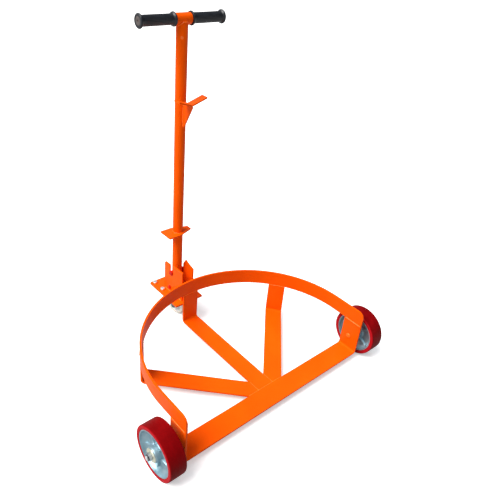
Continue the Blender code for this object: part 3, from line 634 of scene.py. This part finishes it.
def side_wheel(label):
    body = label + "_wheel"
    low, high = (Vector(v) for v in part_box("wheel_tread_" + label))
    core_low, core_high = (Vector(v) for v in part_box("wheel_core_" + label))
    centre = (low + high) / 2
    outer = (high.z - low.z) / 2
    half = (high.x - low.x) / 2
    rim = (core_high.z - core_low.z) / 2
    hub_half = (core_high.x - core_low.x) / 2
    axis = (1, 0, 0)
    seam = 0.0004
    shell = rounded(
        [
            (rim + GAP, -half + 0.0010),
            (outer - 0.0060, -half + 0.0002),
            (outer - 0.0016, -half + 0.0003),
            (outer - 0.0001, -half + 0.0026),
            (outer, -0.004),
        ],
        0.0014,
    )
    tread = shell + [(outer, -0.0008), (outer + seam * 0.4, 0.0), (outer, 0.0008)]
    tread += [(radius, -along) for radius, along in reversed(shell)]
    piece = turned(
        "polyurethane_tread_" + label, tread, axis, centre, 168, RED, body
    )
    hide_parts("wheel_tread_" + label)
    bore = 0.0125
    boss = 0.0212
    web = half * 0.22
    face = rounded(
        [
            (bore, hub_half - 0.0014),
            (bore + 0.0012, hub_half),
            (boss - 0.0016, hub_half),
            (boss, hub_half - 0.0018),
            (boss + 0.0016, web + 0.0040),
            (boss + 0.0060, web + 0.0008),
            (0.0400, web),
            (0.0520, web + 0.0018),
            (0.0580, web + 0.0090),
            (0.0602, half - 0.0048),
            (0.0608, half - 0.0014),
            (0.0622, half - 0.0010),
            (rim, half - 0.0016),
        ],
        0.0030,
        5,
    )
    core = face + [(radius, -along) for radius, along in reversed(face)]
    piece = turned("cast_wheel_core_" + label, core, axis, centre, 144, CORE, body)
    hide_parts("wheel_core_" + label)
    radii = (boss + 0.0006, rim - 0.0030)
    heights = (web, hub_half - 0.0105, half - 0.0100)
    wheel_ribs(label, centre, radii, heights, body)
    axle = 0.0083
    end = hub_half - 0.0010
    cage = rounded([(axle, -end), (0.0100, -end), (0.0122, -end + 0.0006), (0.0122, 0)], 0.0005, 3)
    sleeve = cage + [(radius, -along) for radius, along in reversed(cage)]
    piece = turned("roller_bearing_" + label, sleeve, axis, centre, 72, ZINC, body)
    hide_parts("wheel_bearing_" + label)


def stub_axle(side, label):
    axis = (side, 0, 0)
    low, high = (Vector(v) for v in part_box("axle_" + label))
    centre = Vector((0, (low.y + high.y) / 2, (low.z + high.z) / 2))
    start = min(abs(low.x), abs(high.x))
    tip = max(abs(low.x), abs(high.x))
    washer = [abs(v[0]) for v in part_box("axle_washer_" + label)]
    washer_in, washer_out = min(washer), max(washer)
    nut = [abs(v[0]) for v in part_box("axle_nut_" + label)]
    nut_in, nut_out = min(nut), max(nut)
    spacer = [abs(v[0]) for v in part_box("axle_spacer_" + label)]
    spacer_in, spacer_out = min(spacer), max(spacer)
    shoulder = washer_in - 0.0007
    stud = rounded(
        [
            (0, start + 0.004),
            (STUD_RADIUS, start + 0.004),
            (STUD_RADIUS, shoulder),
            (THREAD_RADIUS, shoulder),
            (THREAD_RADIUS, tip - 0.0010),
            (0.0052, tip),
            (0.0030, tip),
            (0.0012, tip - 0.0009),
            (0, tip - 0.0010),
        ],
        0.0004,
        3,
    )
    thread_pitch = 0.00125
    thread_depth = 0.00025

    def threaded(angle, radius, along):
        if abs(radius - THREAD_RADIUS) < 0.00005 and along > nut_out:
            wave = math.sin(angle - 2 * math.pi * along / thread_pitch)
            return radius - thread_depth * (1 + wave)
        return radius

    piece = turned(
        "stub_axle_" + label, stud, axis, centre, 64, BRIGHT_ZINC, "frame", threaded
    )
    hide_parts("axle_" + label)
    crown = start - 0.0012
    foot = start + 0.0036
    disc = [(0, crown), (0.0052, crown), (STUD_RADIUS, start + 0.0002), (STUD_RADIUS, foot)]
    disc = rounded(disc, 0.0012, 4)
    disc.append((0, foot))
    turned("axle_plug_weld_" + label, disc, axis, centre, 56, WELD_PAINTED_HIGHLIGHT, "frame")
    bore, shell = 0.0083, 0.0125
    edge = shell - 0.0008
    middle = 0.345
    inside = [(bore, spacer_in), (edge, spacer_in), (shell, spacer_in + 0.0008), (shell, middle)]
    outside = [
        (shell, middle + 0.001),
        (shell, spacer_out - 0.0008),
        (edge, spacer_out),
        (bore, spacer_out),
    ]
    ring = rounded(inside, 0.0006) + rounded(outside, 0.0006)
    piece = turned("spacer_tube_" + label, ring, axis, centre, 64, PAINT, "frame")
    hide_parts("axle_spacer_" + label)
    cap = rounded(
        [
            (NUT_BORE, washer_in),
            (0.0190, washer_in),
            (0.0196, washer_in + 0.0008),
            (0.0190, washer_out - 0.0006),
            (0.0150, washer_out),
            (NUT_BORE, washer_out),
        ],
        0.0008,
        4,
    )
    piece = turned("bearing_cap_" + label, cap, axis, centre, 96, CAP, "frame")
    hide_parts("axle_washer_" + label)
    flats = 0.019
    collar = nut_out - 0.0026
    levels = hex_levels(flats, nut_in, collar)
    nut_body = hex_piece(
        "lock_nut_" + label, flats, levels, axis, centre, ZINC, "frame", NUT_BORE
    )
    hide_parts("axle_nut_" + label)
    insert_low = collar + 0.0001
    insert = [(NUT_BORE, insert_low), (0.0085, insert_low), (0.0082, nut_out - 0.0008)]
    insert = rounded(insert, 0.0004, 3)
    lip = [(0.0082, nut_out - 0.0007), (0.0076, nut_out), (NUT_BORE, nut_out)]
    insert += rounded(lip, 0.0004, 3)
    turned("lock_nut_insert_" + label, insert, axis, centre, 64, NYLON_BLUE, "frame")


for wheel_side, wheel_label in ((-1, "left"), (1, "right")):
    side_wheel(wheel_label)
    stub_axle(wheel_side, wheel_label)


# ---------------------------------------------------------------- frame bars

for bar in ("front_bar", "left_spoke", "middle_spoke", "right_spoke"):
    softened(bar, PAINT, "frame", 0.0007)
softened("ring_band", PAINT, "frame", 0.0006, 2, 50)
softened("caster_mount_plate", PAINT, "frame", 0.0008)
for plate in ("bracket_plate_left", "bracket_plate_right", "handle_stop_plate"):
    softened(plate, PAINT, "frame", 0.0007)
# The lower cross pin's dark red is painted shade over the frame's orange paint.
softened("lower_cross_pin", PIN_PAINTED_SHADE, "frame", 0.0003, 2, 45)


def frame_welds():
    """Beads along both faces of the ring band's feet, where they stand on the front bar."""
    bar_low, bar_high = (Vector(v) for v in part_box("front_bar"))
    seam_z = bar_high.z + GAP / 2
    inner = bar_high.x - BAR_THICKNESS
    front, back = bar_low.y + 0.003, bar_high.y - 0.003
    for label, side in (("left", -1), ("right", 1)):
        path = [(side * inner, front, seam_z), (side * inner, back, seam_z)]
        weld(f"weld_band_inner_{label}", path, 0.0021, "frame", 0.9, (side, 0, 0))
        outer = inner + BAR_THICKNESS
        path = [(side * outer, front, seam_z), (side * outer, back, seam_z)]
        weld(f"weld_band_outer_{label}", path, 0.0018, "frame", 0.9, (side, 0, 0))
    return bar_low, bar_high, seam_z


bar_min, bar_max, leg_seam_z = frame_welds()
band_min, band_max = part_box("ring_band")
RING_OUTER = (band_max[0] - band_min[0]) / 2
RING_INNER = RING_OUTER - BAR_THICKNESS
RING_CENTRE_Y = band_max[1] - RING_OUTER
SPOKE_TOP_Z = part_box("middle_spoke")[0][2] + BAR_THICKNESS


def leg_weld(label, angle, face_radius, size):
    """Bead across the top of a leg, along the ring's underside."""
    spread = SPOKE_WIDTH / 2 / RING_INNER
    points = []
    for k in range(9):
        turn = angle + spread * (k / 4 - 1)
        points.append(
            (face_radius * math.cos(turn), RING_CENTRE_Y + face_radius * math.sin(turn), leg_seam_z)
        )
    weld(label, points, size, "frame", 0.8, (0, 0, 1))


def spoke_turn(angle):
    """Angle about the ring's centre at which a spoke's middle line meets the ring."""
    meet_y = bar_min.y + SPOKE_MEET
    direction = Vector((math.cos(angle), math.sin(angle)))
    base = Vector((0, meet_y - RING_CENTRE_Y))
    along = direction.dot(base)
    reach = math.sqrt(along * along - base.length_squared + RING_INNER**2) - along
    hit = base + direction * reach
    return math.atan2(hit.y, hit.x)


for spoke_label, spoke_angle in (
    ("right", SPOKE_ANGLE),
    ("middle", math.pi / 2),
    ("left", math.pi - SPOKE_ANGLE),
):
    turn = spoke_turn(spoke_angle)
    leg_weld(f"weld_leg_inner_{spoke_label}", turn, RING_INNER - 0.0002, 0.0009)
    leg_weld(f"weld_leg_outer_{spoke_label}", turn, RING_OUTER + 0.0002, 0.0015)


def hub_welds():
    """Ground-flush seams where the spokes meet the front bar and each other."""
    seam_y = bar_max.y + GAP / 2
    half = SPOKE_WIDTH / 2
    reach = half / math.sin(SPOKE_ANGLE)
    meet_y = bar_min.y + SPOKE_MEET
    far = (seam_y - meet_y) / math.tan(SPOKE_ANGLE) + reach
    for z, label in ((SPOKE_TOP_Z, "top"), (SPOKE_TOP_Z - BAR_THICKNESS, "under")):
        size = 0.0012
        drop = 0.0006 if label == "top" else -0.0006
        path = [(-far + 0.001, seam_y, z - drop), (far - 0.001, seam_y, z - drop)]
        weld(f"weld_hub_bar_{label}", path, size, "frame", 0.7, (0, 0, 1))
        for side, name in ((-1, "left"), (1, "right")):
            x = side * (half + GAP / 2)
            end = meet_y + half / math.cos(SPOKE_ANGLE) + half * math.tan(SPOKE_ANGLE)
            path = [(x, seam_y, z - drop), (x, end - 0.001, z - drop)]
            weld(f"weld_hub_{name}_{label}", path, size, "frame", 0.7, (0, 0, 1))


hub_welds()


def bracket_welds():
    """Beads around the pivot bracket, the handle stop and the caster plate."""
    plate_low, plate_high = (Vector(v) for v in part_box("caster_mount_plate"))
    for label, side in (("left", -1), ("right", 1)):
        low, high = (Vector(v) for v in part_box("bracket_plate_" + label))
        outer = max(abs(low.x), abs(high.x))
        x = side * outer
        path = [(x, low.y + 0.002, plate_high.z), (x, high.y - 0.002, plate_high.z)]
        weld(f"weld_bracket_{label}", path, 0.0022, "frame", 1.0, (0, 0, 1))
    stop_low, stop_high = (Vector(v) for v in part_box("handle_stop_plate"))
    back, top = stop_high.y, plate_high.z
    path = [(stop_low.x + 0.002, back, top), (stop_high.x - 0.002, back, top)]
    weld("weld_stop_plate", path, 0.0020, "frame", 1.0, (0, 0, 1))
    leg_back = plate_low.y - GAP / 2
    half = 0.0265
    for z, label in ((plate_high.z, "top"), (plate_low.z, "under")):
        path = [(-half, leg_back, z), (half, leg_back, z)]
        weld(f"weld_plate_leg_{label}", path, 0.0018, "frame", 1.0, (0, 0, 1))


bracket_welds()


# ---------------------------------------------------------------- plate bolts


def plate_hardware():
    for number in range(1, 5):
        low, high = (Vector(v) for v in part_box(f"plate_bolt_{number}"))
        centre = Vector(((low.x + high.x) / 2, (low.y + high.y) / 2, 0))
        flats = high.x - low.x
        top = high.z
        head_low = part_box("caster_mount_plate")[1][2] + GAP
        levels = hex_levels(flats, head_low, top, False)
        name = f"bolt_head_{number}"
        up = (0, 0, 1)
        head = hex_piece(name, flats, levels, up, centre, BRIGHT_ZINC, "frame")
        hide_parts(f"plate_bolt_{number}")
        shank = [(0, low.z), (0.0032, low.z), (0.0040, low.z + 0.0008), (0.0040, head_low)]
        shank = rounded(shank, 0.0003, 2)
        shank.append((0, head_low))
        turned(f"bolt_shank_{number}", shank, up, centre, 32, ZINC, "frame")
        nut_low, nut_high = (Vector(v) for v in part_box(f"plate_nut_{number}"))
        levels = hex_levels(flats, nut_low.z, nut_high.z)
        name = f"bolt_nut_{number}"
        bore = 0.0043
        nut = hex_piece(name, flats, levels, up, centre, ZINC, "frame", bore)
        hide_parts(f"plate_nut_{number}")


plate_hardware()


# ---------------------------------------------------------------- swivel caster


def caster():
    softened("caster_top_plate", ZINC, "frame", 0.0005)
    softened("caster_fork", ZINC, "caster_swivel", 0.0006)
    low, high = (Vector(v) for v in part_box("caster_race"))
    centre = Vector(((low.x + high.x) / 2, (low.y + high.y) / 2, 0))
    outer = (high.x - low.x) / 2
    race = rounded(
        [
            (0.0063, low.z),
            (outer - 0.0040, low.z),
            (outer - 0.0004, low.z + 0.0012),
            (outer, low.z + 0.0030),
            (outer - 0.0014, low.z + 0.0036),
            (outer - 0.0006, low.z + 0.0044),
            (outer - 0.0032, high.z - 0.0008),
            (outer - 0.0060, high.z),
            (0.0063, high.z),
        ],
        0.0008,
        4,
    )
    up = (0, 0, 1)
    piece = turned("swivel_raceway", race, up, centre, 96, ZINC, "caster_swivel")
    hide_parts("caster_race")
    low, high = (Vector(v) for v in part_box("caster_kingpin"))
    pin = rounded(
        [
            (0, low.z),
            (0.0060, low.z),
            (0.0092, low.z + 0.0010),
            (0.0100, low.z + 0.0024),
            (0.0100, low.z + 0.0035),
            (0.0060, low.z + 0.0035),
            (0.0060, high.z),
            (0, high.z),
        ],
        0.0007,
        4,
    )
    piece = turned("kingpin_rivet", pin, up, centre, 56, ZINC, "caster_swivel")
    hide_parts("caster_kingpin")
    joint = [j for j in frame["joints"] if j["name"] == "caster_wheel_spin"][0]
    axis = Vector(joint["axis"]).normalized()
    hub = Vector(joint["pos_m"])
    low, high = (Vector(v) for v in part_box("caster_wheel_tread"))
    radius = (high.z - low.z) / 2
    half = 0.016
    split = 0.0265
    shell = rounded(
        [
            (split + GAP, -half + 0.0030),
            (radius - 0.0075, -half + 0.0012),
            (radius - 0.0036, -half + 0.0024),
            (radius - 0.0010, -half + 0.0070),
            (radius - 0.0001, -0.0050),
            (radius, -0.0012),
        ],
        0.0024,
        5,
    )
    tread = shell + [(radius, 0.0)] + [(r, -along) for r, along in reversed(shell)]
    piece = turned("caster_tyre", tread, axis, hub, 128, CREAM, "caster_wheel")
    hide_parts("caster_wheel_tread")
    face = rounded(
        [
            (0.0043, half + 0.0012),
            (0.0086, half + 0.0012),
            (0.0096, half + 0.0002),
            (0.0104, half * 0.48),
            (0.0140, half * 0.44),
            (0.0210, half * 0.46),
            (0.0236, half - 0.0040),
            (0.0250, half - 0.0028),
            (split, half - 0.0032),
        ],
        0.0012,
        4,
    )
    core = face + [(r, -along) for r, along in reversed(face)]
    piece = turned("caster_hub", core, axis, hub, 96, PALE, "caster_wheel")
    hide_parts("caster_wheel_core")
    fork_half = 0.0215
    reach = fork_half + GAP
    flats = 0.013
    levels = hex_levels(flats, -reach - 0.0050, -reach)
    head = hex_piece(
        "caster_axle_head", flats, levels, axis, hub, DULL_ZINC, "caster_swivel"
    )
    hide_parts("caster_axle_bolt")
    shank = [(0, -reach), (0.0040, -reach), (0.0040, reach + 0.0077), (0.0032, reach + 0.0085)]
    shank = rounded(shank, 0.0003, 2)
    shank.append((0, reach + 0.0085))
    turned("caster_axle_shank", shank, axis, hub, 32, ZINC, "caster_swivel")
    levels = hex_levels(flats, reach, reach + 0.0065)
    bore = 0.0043
    name = "caster_axle_locknut"
    nut = hex_piece(
        name, flats, levels, axis, hub, DULL_ZINC, "caster_swivel", bore
    )
    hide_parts("caster_axle_nut")


caster()


# ---------------------------------------------------------------- handle


def handle():
    tube_low, tube_high = (Vector(v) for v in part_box("handle_tube"))
    radius = (tube_high.x - tube_low.x) / 2
    y = (tube_low.y + tube_high.y) / 2
    softened("handle_tube", PAINT, "handle", 0.0003, 2, 45)
    # The pivot pin's dark red is painted shade over the frame's orange paint.
    softened("pivot_pin", PIN_PAINTED_SHADE, "handle", 0.0003, 2, 45)
    bar_low, bar_high = (Vector(v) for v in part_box("handle_tbar"))
    tee_z = (bar_low.z + bar_high.z) / 2
    centre = Vector((0, y, tee_z))
    sleeve_low, sleeve_high = (Vector(v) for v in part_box("tee_sleeve"))
    sleeve_reach = sleeve_high.x
    sleeve_radius = (sleeve_high.z - sleeve_low.z) / 2
    half = rounded(
        [
            (TBAR_CLEAR, -sleeve_reach),
            (sleeve_radius - 0.0010, -sleeve_reach),
            (sleeve_radius, -sleeve_reach + 0.0010),
            (sleeve_radius, 0),
        ],
        0.0010,
        4,
    )
    sleeve = half + [(r, -along) for r, along in reversed(half)]
    piece = turned("tee_socket", sleeve, (1, 0, 0), centre, 96, PAINT, "handle")
    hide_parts("tee_sleeve")
    path = []
    for k in range(48):
        angle = 2 * math.pi * k / 48
        x = (radius + 0.0002) * math.cos(angle)
        side = (radius + 0.0002) * math.sin(angle)
        offset = min(abs(side), sleeve_radius)
        reach = math.sqrt(max(0.0, (sleeve_radius + 0.0010) ** 2 - offset**2))
        path.append((x, y + side, tee_z - max(reach, 0.0030)))
    weld("weld_tee", path, 0.0013, "handle", 0.9, None, True)
    for label, side in (("left", -1), ("right", 1)):
        grip(label, side, centre)
    return y, radius


def grip(label, side, centre):
    low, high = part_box("grip_" + label)
    inner = min(abs(low[0]), abs(high[0]))
    outer = max(abs(low[0]), abs(high[0]))
    flange = (high[2] - low[2]) / 2
    grip_radius = 0.0138
    sleeve = TBAR_CLEAR
    collar = 0.0120
    profile = rounded(
        [
            (sleeve, inner),
            (flange - 0.0030, inner),
            (flange - 0.0006, inner + 0.0008),
            (flange, inner + 0.0028),
            (flange - 0.0006, inner + 0.0050),
            (flange - 0.0028, inner + 0.0066),
            (grip_radius + 0.0002, inner + 0.0090),
            (grip_radius, inner + collar),
        ],
        0.0016,
        4,
    )
    count = 14
    span = outer - inner - 2 * collar
    for k in range(1, count):
        profile.append((grip_radius, inner + collar + span * k / count))
    profile += rounded(
        [
            (grip_radius, outer - collar),
            (grip_radius + 0.0002, outer - 0.0096),
            (flange - 0.0028, outer - 0.0074),
            (flange - 0.0004, outer - 0.0056),
            (flange, outer - 0.0036),
            (flange - 0.0006, outer - 0.0014),
            (flange - 0.0026, outer - 0.0002),
            (flange - 0.0046, outer - 0.0006),
            (0.0110, outer - 0.0008),
        ],
        0.0014,
        4,
    )
    profile += [(0.0110, outer - 0.0030), (sleeve, outer - 0.0032)]
    ribs = 22
    plain = 0.0110

    def ribbed(angle, radius, along):
        edge = min(along - inner - plain, outer - plain - along)
        if edge <= 0 or abs(radius - grip_radius) > 0.0004:
            return radius
        depth = 0.00055 * min(1.0, edge / 0.004)
        return radius - depth * (0.5 + 0.5 * math.cos(angle * ribs)) ** 3

    piece = turned(
        "ribbed_grip_" + label,
        profile,
        (side, 0, 0),
        centre,
        264,
        RUBBER,
        "handle",
        ribbed,
    )
    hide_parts("grip_" + label)
    disc = rounded(
        [
            (0.0024, outer - 0.0034),
            (0.0024, outer - 0.0014),
            (0.0036, outer - 0.0006),
            (0.0100, outer - 0.0006),
            (0.0109, outer - 0.0012),
            (0.0109, outer - 0.0034),
        ],
        0.0006,
        4,
    )
    turned("grip_end_" + label, disc, (side, 0, 0), centre, 96, GRIP_END, "handle")


HANDLE_Y, TUBE_RADIUS = handle()


def handle_fittings():
    y = HANDLE_Y
    softened("bung_wrench_plate", PAINT, "handle", 0.0006, 3, 50)
    softened("hook_bar", PAINT, "handle", 0.0006)
    softened("hook_gusset", PAINT, "handle", 0.0006)
    plate_low, plate_high = (Vector(v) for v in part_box("bung_wrench_plate"))
    for z, label in ((plate_high.z, "top"), (plate_low.z, "under")):
        path = []
        for k in range(40):
            angle = 2 * math.pi * k / 40
            path.append((TUBE_RADIUS * math.cos(angle), y + TUBE_RADIUS * math.sin(angle), z))
        weld("weld_bung_plate_" + label, path, 0.0012, "handle", 1.0, None, True)
    low, high = (Vector(v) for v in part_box("hook_gusset"))
    front = y - TUBE_RADIUS
    for x, label in ((low.x, "left"), (high.x, "right")):
        path = [(x, front + 0.0004, low.z + 0.002), (x, front + 0.0004, high.z - 0.002)]
        weld("weld_gusset_" + label, path, 0.0015, "handle", 1.0, (0, -1, 0))
        slope = [(x, low.y + 0.002, high.z + 0.0006), (x, front - 0.012, high.z + 0.0006)]
        weld("weld_hook_" + label, slope, 0.0016, "handle", 1.0, (0, 0, 1))
    spot = rounded([(0, -0.0006), (0.0034, -0.0006), (0.0040, 0.0003), (0.0030, 0.0009)], 0.0004, 3)
    spot.append((0, 0.0006))
    facing = Vector(PLUG_WELD_SIDE).normalized()
    centre = Vector((0, y, PLUG_WELD_Z)) + facing * (TUBE_RADIUS - 0.0003)
    turned("tube_plug_weld", spot, facing, centre, 40, WELD_PAINTED_HIGHLIGHT, "handle")


handle_fittings()

frame["nodes"]["handle_tbar"].data.materials[0] = PAINT


# ---------------------------------------------------------------- stage, camera and light


def stage():
    """The floor, which stands just under the wheels and belongs to no body."""
    steps = 24
    reach = FLOOR_REACH
    verts = []
    faces = []
    for i in range(steps + 1):
        for j in range(steps + 1):
            verts.append((reach * (2 * i / steps - 1), reach * (2 * j / steps - 1), -0.0002))
    for i in range(steps):
        for j in range(steps):
            a = i * (steps + 1) + j
            faces.append((a, a + 1, a + steps + 2, a + steps + 1))
    mesh = bpy.data.meshes.new("studio_floor")
    mesh.from_pydata(verts, [], faces)
    mesh.materials.append(floor_paint())
    floor = bpy.data.objects.new("studio_floor", mesh)
    bpy.context.scene.collection.objects.link(floor)


def look_at(obj, where, target):
    """Places an object and turns its -Z axis to a target."""
    obj.location = where
    facing = (Vector(target) - Vector(where)).to_track_quat("-Z", "Y")
    obj.rotation_euler = facing.to_euler()


def sun(name, side, strength, spread, color):
    light = bpy.data.lights.new(name, "SUN")
    light.energy = strength
    light.angle = math.radians(spread)
    light.color = color
    obj = bpy.data.objects.new(name, light)
    bpy.context.scene.collection.objects.link(obj)
    look_at(obj, Vector(side) * 4, (0, 0, 0))


def studio():
    scene = bpy.context.scene
    scene.view_settings.view_transform = "Standard"
    world = bpy.data.worlds.new("soft_studio")
    world.use_nodes = True
    nodes = world.node_tree.nodes
    links = world.node_tree.links
    background = nodes["Background"]
    where = nodes.new("ShaderNodeTexCoord").outputs["Generated"]
    facing = nodes.new("ShaderNodeVectorMath")
    facing.operation = "DOT_PRODUCT"
    links.new(where, facing.inputs[0])
    facing.inputs[1].default_value = Vector(SOFT_SIDE).normalized()
    falloff = nodes.new("ShaderNodeValToRGB")
    links.new(facing.outputs["Value"], falloff.inputs[0])
    falloff.color_ramp.elements[0].position = 0.0
    falloff.color_ramp.elements[0].color = SKY_LOW
    falloff.color_ramp.elements[1].position = 0.85
    falloff.color_ramp.elements[1].color = SKY_HIGH
    # The camera sees an even pale backdrop, while the object is lit and mirrored by the sky above.
    seen = nodes.new("ShaderNodeLightPath")
    backdrop = nodes.new("ShaderNodeMix")
    backdrop.data_type = "RGBA"
    links.new(seen.outputs["Is Camera Ray"], backdrop.inputs["Factor"])
    links.new(falloff.outputs[0], backdrop.inputs[6])
    backdrop.inputs[7].default_value = BACKDROP
    links.new(backdrop.outputs[2], background.inputs["Color"])
    background.inputs["Strength"].default_value = 1.0
    scene.world = world
    sun("key_sun", KEY_SIDE, KEY_STRENGTH, KEY_SPREAD, KEY_COLOR)
    camera = bpy.data.cameras.new("view_camera")
    camera.lens = LENS_MM
    camera.sensor_width = SENSOR_MM
    camera.clip_end = 60
    seat = bpy.data.objects.new("view_camera", camera)
    scene.collection.objects.link(seat)
    forward = Vector(CAMERA_FORWARD).normalized()
    right = forward.cross(Vector(CAMERA_UP)).normalized()
    up = right.cross(forward)
    pose = Matrix((right, up, -forward)).transposed().to_4x4()
    pose.translation = Vector(CAMERA_EYE)
    seat.matrix_world = pose
    scene.camera = seat


stage()
studio()
